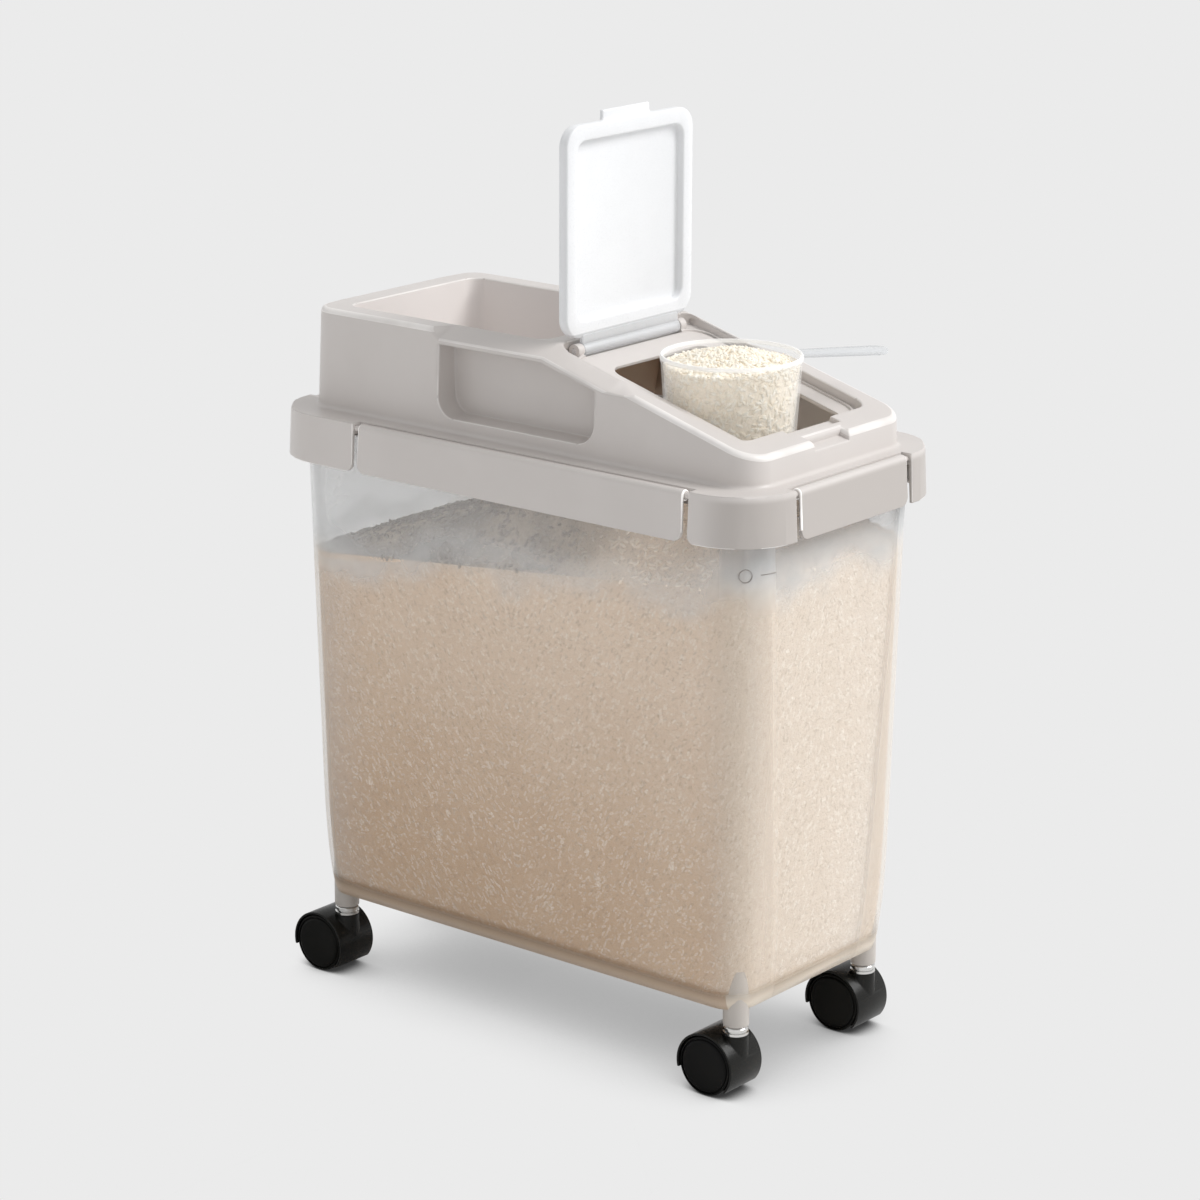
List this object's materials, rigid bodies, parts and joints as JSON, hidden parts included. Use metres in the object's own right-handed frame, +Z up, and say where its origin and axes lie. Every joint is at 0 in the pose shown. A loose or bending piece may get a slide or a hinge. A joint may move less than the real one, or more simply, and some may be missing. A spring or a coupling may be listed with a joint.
{
  "type": "rice bin",
  "caption": "Tall translucent rice bin on swivel casters, with a clip-down lid that has a tray, side grips, a sloping mouth with a flip flap, and a measuring scoop.",
  "frame": {"origin": "on the floor, midway between the four casters and under the middle of the lid", "axes": "+Z up, -Y towards the low front end with the mouth's finger notch, +X across the bin to the right when seen from behind; seen from the front it is to the right-hand side of someone looking along +Y"},
  "size_m": [0.203, 0.387, 0.5793],
  "materials": {
    "frosted_tub": "frosted translucent, smooth",
    "sleeve_steel": "plain pressed steel",
    "stored_rice": "loose dull grains",
    "scooped_rice": "loose polished white grains",
    "lid_plastic": "satin, warm grey beige",
    "seal_rubber": "soft pale silicone",
    "flap_plastic": "milky translucent, satin",
    "pin_steel": "plain drawn wire",
    "scoop_plastic": "clear, glossy",
    "stem_chrome": "bright plated",
    "caster_black": "satin to gloss black",
    "wheel_black": "matt black"
  },
  "bodies": {
    "bin": {"bin_tub": "frosted_tub", "caster_sleeves": "sleeve_steel", "rice_fill": "stored_rice"},
    "lid": {"lid_shell": "lid_plastic", "lid_seal": "seal_rubber", "flap_hinge_pin": "pin_steel"},
    "flap": {"flap": "flap_plastic"},
    "scoop": {"scoop": "scoop_plastic", "scoop_rice": "scooped_rice"},
    "clip_front": {"clip_front": "lid_plastic"},
    "clip_rear": {"clip_rear": "lid_plastic"},
    "clip_left": {"clip_left": "lid_plastic"},
    "clip_right": {"clip_right": "lid_plastic"},
    "caster_front_left": {"stem_front_left": "stem_chrome", "hood_front_left": "caster_black", "axle_front_left": "pin_steel"},
    "wheel_outer_front_left": {"wheel_outer_front_left": "wheel_black"},
    "wheel_inner_front_left": {"wheel_inner_front_left": "wheel_black"},
    "caster_front_right": {"stem_front_right": "stem_chrome", "hood_front_right": "caster_black", "axle_front_right": "pin_steel"},
    "wheel_outer_front_right": {"wheel_outer_front_right": "wheel_black"},
    "wheel_inner_front_right": {"wheel_inner_front_right": "wheel_black"},
    "caster_rear_left": {"stem_rear_left": "stem_chrome", "hood_rear_left": "caster_black", "axle_rear_left": "pin_steel"},
    "wheel_outer_rear_left": {"wheel_outer_rear_left": "wheel_black"},
    "wheel_inner_rear_left": {"wheel_inner_rear_left": "wheel_black"},
    "caster_rear_right": {"stem_rear_right": "stem_chrome", "hood_rear_right": "caster_black", "axle_rear_right": "pin_steel"},
    "wheel_outer_rear_right": {"wheel_outer_rear_right": "wheel_black"},
    "wheel_inner_rear_right": {"wheel_inner_rear_right": "wheel_black"}
  },
  "joints": [
    {"name": "lid_lift", "type": "slide", "parent": "bin", "child": "lid", "axis": [0, 0, 1], "range_m": [0, 0.15]},
    {"name": "clip_left_hinge", "type": "hinge", "parent": "lid", "child": "clip_left", "pos_m": [-0.0965, -0.0145, 0.3775], "axis": [0, 1, 0], "range_deg": [0, 95]},
    {"name": "clip_right_hinge", "type": "hinge", "parent": "lid", "child": "clip_right", "pos_m": [0.0965, -0.0145, 0.3775], "axis": [0, -1, 0], "range_deg": [0, 95]},
    {"name": "clip_front_hinge", "type": "hinge", "parent": "lid", "child": "clip_front", "pos_m": [0, -0.1885, 0.3775], "axis": [-1, 0, 0], "range_deg": [0, 95]},
    {"name": "clip_rear_hinge", "type": "hinge", "parent": "lid", "child": "clip_rear", "pos_m": [0, 0.1885, 0.3775], "axis": [1, 0, 0], "range_deg": [0, 95]},
    {"name": "flap_hinge", "type": "hinge", "parent": "lid", "child": "flap", "pos_m": [0, -0.02102, 0.43782], "axis": [1, 0, 0], "range_deg": [0, 105.6]},
    {"name": "scoop_lift", "type": "slide", "parent": "lid", "child": "scoop", "axis": [0, -0.309, 0.9511], "range_m": [0, 0.56]},
    {"name": "swivel_front_left", "type": "hinge", "parent": "bin", "child": "caster_front_left", "pos_m": [-0.066, -0.16, 0.05], "axis": [0, 0, 1], "continuous": true},
    {"name": "spin_outer_front_left", "type": "hinge", "parent": "caster_front_left", "child": "wheel_outer_front_left", "pos_m": [-0.0755, -0.1476, 0.019], "axis": [1, 0, 0], "continuous": true},
    {"name": "spin_inner_front_left", "type": "hinge", "parent": "caster_front_left", "child": "wheel_inner_front_left", "pos_m": [-0.0565, -0.1476, 0.019], "axis": [1, 0, 0], "continuous": true},
    {"name": "swivel_front_right", "type": "hinge", "parent": "bin", "child": "caster_front_right", "pos_m": [0.066, -0.16, 0.05], "axis": [0, 0, 1], "continuous": true},
    {"name": "spin_outer_front_right", "type": "hinge", "parent": "caster_front_right", "child": "wheel_outer_front_right", "pos_m": [0.0755, -0.1476, 0.019], "axis": [1, 0, 0], "continuous": true},
    {"name": "spin_inner_front_right", "type": "hinge", "parent": "caster_front_right", "child": "wheel_inner_front_right", "pos_m": [0.0565, -0.1476, 0.019], "axis": [1, 0, 0], "continuous": true},
    {"name": "swivel_rear_left", "type": "hinge", "parent": "bin", "child": "caster_rear_left", "pos_m": [-0.066, 0.16, 0.05], "axis": [0, 0, 1], "continuous": true},
    {"name": "spin_outer_rear_left", "type": "hinge", "parent": "caster_rear_left", "child": "wheel_outer_rear_left", "pos_m": [-0.0755, 0.1724, 0.019], "axis": [1, 0, 0], "continuous": true},
    {"name": "spin_inner_rear_left", "type": "hinge", "parent": "caster_rear_left", "child": "wheel_inner_rear_left", "pos_m": [-0.0565, 0.1724, 0.019], "axis": [1, 0, 0], "continuous": true},
    {"name": "swivel_rear_right", "type": "hinge", "parent": "bin", "child": "caster_rear_right", "pos_m": [0.066, 0.16, 0.05], "axis": [0, 0, 1], "continuous": true},
    {"name": "spin_outer_rear_right", "type": "hinge", "parent": "caster_rear_right", "child": "wheel_outer_rear_right", "pos_m": [0.0755, 0.1724, 0.019], "axis": [1, 0, 0], "continuous": true},
    {"name": "spin_inner_rear_right", "type": "hinge", "parent": "caster_rear_right", "child": "wheel_inner_rear_right", "pos_m": [0.0565, 0.1724, 0.019], "axis": [1, 0, 0], "continuous": true}
  ],
  "couplings": [
    {"joint": "flap_hinge", "follows": "scoop_lift", "rad_per_m": 3.29}
  ]
}
